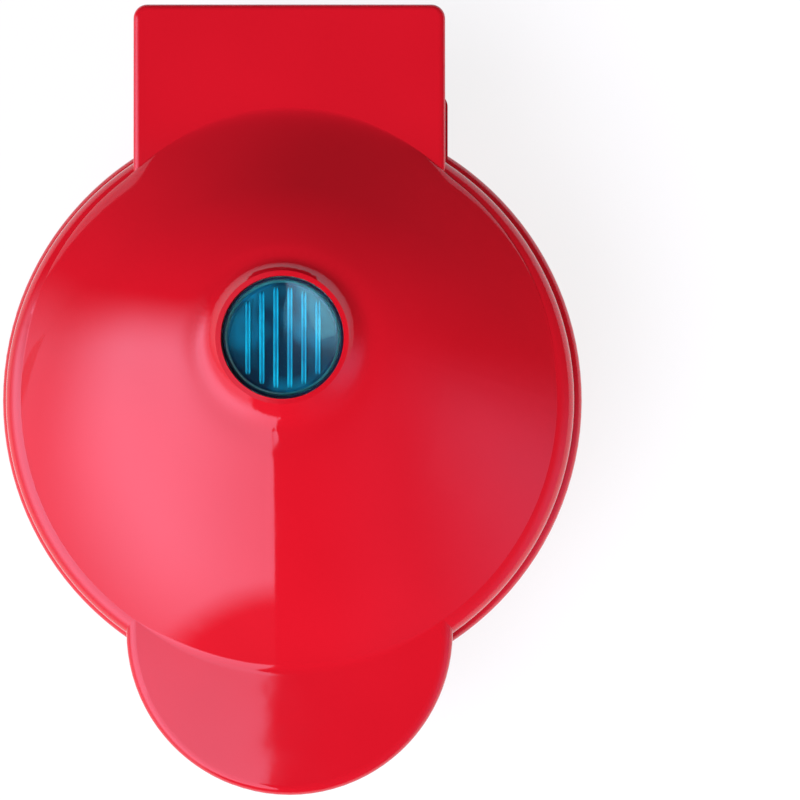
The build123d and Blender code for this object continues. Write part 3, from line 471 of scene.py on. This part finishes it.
def blend_section(turn, flat, climb):
    """Points across a strip, from the flat at the dome's foot up to the dome and tangent to both."""
    start = Vector((math.sin(turn), math.cos(turn), 0)) * (DOME_FOOT_R + flat)
    start.z = SHOULDER_Z
    end = dome_point(climb, turn)
    rise = dome_point(climb + 0.001, turn) - end
    meet = end - rise * ((end.z - SHOULDER_Z) / rise.z)
    b, c = start.lerp(meet, BLEND_PULL), end.lerp(meet, BLEND_PULL)
    points = []
    for k in range(BLEND_STEPS[1] + 1):
        t = k / BLEND_STEPS[1]
        points.append(start * (1 - t) ** 3 + b * 3 * t * (1 - t) ** 2 + c * 3 * t ** 2 * (1 - t) + end * t ** 3)
    return points


def make_blend(name, finish):
    """Smooth concave strip between the dome's foot and the flat tab and shoulder beside it."""
    middle_deg, reach_deg, end_w, middle_w, climb = BLENDS[name]
    along, across = BLEND_STEPS
    build = bmesh.new()
    upper, lower = [], []
    for i in range(along + 1):
        share = -1 + 2 * i / along
        turn = math.radians(middle_deg + reach_deg * share)
        taper = max(1 - abs(share) ** 3, 0.02)
        near = min(abs(reach_deg * share) / BLEND_GROW_DEG, 1.0)
        flat = end_w + (middle_w - end_w) * math.cos(near * math.pi / 2)
        points = blend_section(turn, flat * taper, climb * taper)
        upper.append([build.verts.new(point) for point in points])
        lower.append([build.verts.new(point - Vector((0, 0, BLEND_T))) for point in points])
    for rows in (upper, lower):
        for first, second in zip(rows, rows[1:]):
            for k in range(across):
                build.faces.new([first[k], second[k], second[k + 1], first[k + 1]])
    for first, second, below, next_below in zip(upper, upper[1:], lower, lower[1:]):
        for k in (0, across):
            build.faces.new([first[k], second[k], next_below[k], below[k]])
    for row, under in ((upper[0], lower[0]), (upper[-1], lower[-1])):
        for k in range(across):
            build.faces.new([row[k], row[k + 1], under[k + 1], under[k]])
    finish_piece(name, finish_mesh(build, name, 50), finish)


# Stage
def floor_material():
    """White paper: mostly its own white to the camera and in reflections, but it keeps a soft shadow. Its colour and
    its plain white share fall with distance from the object: painted falloff of the studio light.
    """
    made, tree, shader = new_material("pale_floor")
    tree.nodes.remove(shader)
    out = tree.nodes["Material Output"]
    place = tree.nodes.new("ShaderNodeTexCoord")
    reach = tree.nodes.new("ShaderNodeVectorMath")
    reach.operation = "LENGTH"
    tree.links.new(place.outputs["Object"], reach.inputs[0])
    (near, near_falloff_white, near_glow), (far, far_falloff_white, far_glow) = FLOOR_NEAR, FLOOR_FAR
    diffuse = tree.nodes.new("ShaderNodeBsdfDiffuse")
    # Painted shade: the paper is darker further from the object, for the light's falloff
    tree.links.new(remap(tree, reach.outputs["Value"], near_falloff_white, far_falloff_white, near, far), diffuse.inputs["Color"])
    glow = tree.nodes.new("ShaderNodeEmission")
    glow.inputs["Strength"].default_value = 1.0
    path = tree.nodes.new("ShaderNodeLightPath")
    seen = math_node(tree, "ADD", path.outputs["Is Camera Ray"], path.outputs["Is Glossy Ray"], clamp=True)
    seen = math_node(tree, "ADD", seen, path.outputs["Is Transmission Ray"], clamp=True)
    # The plain white share also falls with distance: painted falloff of the light
    plain = remap(tree, reach.outputs["Value"], near_glow, far_glow, near, far)
    share = math_node(tree, "MULTIPLY", seen, plain)
    mix = tree.nodes.new("ShaderNodeMixShader")
    tree.links.new(share, mix.inputs["Fac"])
    tree.links.new(diffuse.outputs["BSDF"], mix.inputs[1])
    tree.links.new(glow.outputs["Emission"], mix.inputs[2])
    tree.links.new(mix.outputs["Shader"], out.inputs["Surface"])
    return made


def make_floor():
    """Large flat floor under the object."""
    mesh = bpy.data.meshes.new("floor")
    corners = [(x * FLOOR_HALF, y * FLOOR_HALF, 0) for x, y in ((-1, -1), (1, -1), (1, 1), (-1, 1))]
    mesh.from_pydata(corners, [], [(0, 1, 2, 3)])
    mesh.materials.append(floor_material())
    floor = bpy.data.objects.new("floor", mesh)
    bpy.context.scene.collection.objects.link(floor)


def make_world():
    """Dim studio with one large soft panel over the front left, a faint one at the right and a fainter fill."""
    world = bpy.data.worlds.new("studio")
    bpy.context.scene.world = world
    world.use_nodes = True
    tree = world.node_tree
    place = tree.nodes.new("ShaderNodeTexCoord")
    split = tree.nodes.new("ShaderNodeSeparateXYZ")
    tree.links.new(place.outputs["Generated"], split.inputs["Vector"])
    east, north, up = (split.outputs[axis] for axis in "XYZ")

    def soft(value, start, end, low=0.0, high=1.0):
        return remap(tree, value, low, high, start, end, smooth=True)

    def product(*values):
        result = values[0]
        for value in values[1:]:
            result = math_node(tree, "MULTIPLY", result, value)
        return result

    beside = math_node(tree, "SUBTRACT", east, soft(north, *PANEL_LEAN))
    behind = math_node(tree, "ADD", north, remap(tree, east, -PANEL_SLANT, PANEL_SLANT, -1.0, 1.0))
    panel = product(soft(beside, *PANEL_EDGE), soft(behind, *PANEL_REAR), soft(up, *PANEL_LOW),
                    soft(east, *PANEL_WEST), soft(north, *PANEL_FRONT))
    right = product(soft(east, *RIGHT_EAST), soft(north, *RIGHT_NORTH))
    fill = product(soft(east, *FILL_EAST), soft(north, *FILL_NORTH))
    total = None
    for colour, share in ((PANEL_COLOUR, panel), (RIGHT_COLOUR, right), (FILL_COLOUR, fill)):
        scaled = tree.nodes.new("ShaderNodeVectorMath")
        scaled.operation = "SCALE"
        scaled.inputs[0].default_value = colour
        tree.links.new(share, scaled.inputs["Scale"])
        added = tree.nodes.new("ShaderNodeVectorMath")
        added.operation = "ADD"
        added.inputs[0].default_value = AMBIENT_COLOUR
        if total is not None:
            tree.links.new(total, added.inputs[0])
        tree.links.new(scaled.outputs[0], added.inputs[1])
        total = added.outputs[0]
    tree.links.new(total, tree.nodes["Background"].inputs["Color"])


def soft_lamp(name):
    """Large lamp that lights the surfaces but does not show in them."""
    place, watts = LAMPS[name]
    data = bpy.data.lights.new(name, "AREA")
    data.shape = "SQUARE"
    data.size = LAMP_SIDE
    data.energy = watts
    lamp = bpy.data.objects.new(name, data)
    bpy.context.scene.collection.objects.link(lamp)
    lamp.location = place
    aim = Vector(LAMP_AIM) - Vector(place)
    lamp.rotation_euler = aim.to_track_quat("-Z", "Y").to_euler()
    lamp.visible_glossy = False


def make_camera():
    """Straight above the object, a little to its right, at the photograph's framing."""
    data = bpy.data.cameras.new("camera")
    camera = bpy.data.objects.new("camera", data)
    bpy.context.scene.collection.objects.link(camera)
    x = (IMAGE_PX / 2 - BODY_CENTRE_PX[0]) * RIM_SCALE
    y = (BODY_CENTRE_PX[1] - IMAGE_PX / 2) * RIM_SCALE
    camera.location = (x, y, RIM_HEIGHT + CAMERA_ABOVE_RIM)
    camera.rotation_euler = (0, 0, 0)
    data.sensor_width = SENSOR_MM
    data.lens = SENSOR_MM * CAMERA_ABOVE_RIM / (RIM_SCALE * IMAGE_PX)
    bpy.context.scene.camera = camera


finishes = dress_cad_nodes()
make_lens_window()
make_lens_shade_ring()
make_lens_core()
for blend in BLENDS:
    make_blend(blend, finishes["red_shell"])
make_floor()
make_world()
for lamp in LAMPS:
    soft_lamp(lamp)
make_camera()
bpy.context.scene.view_settings.view_transform = "Standard"
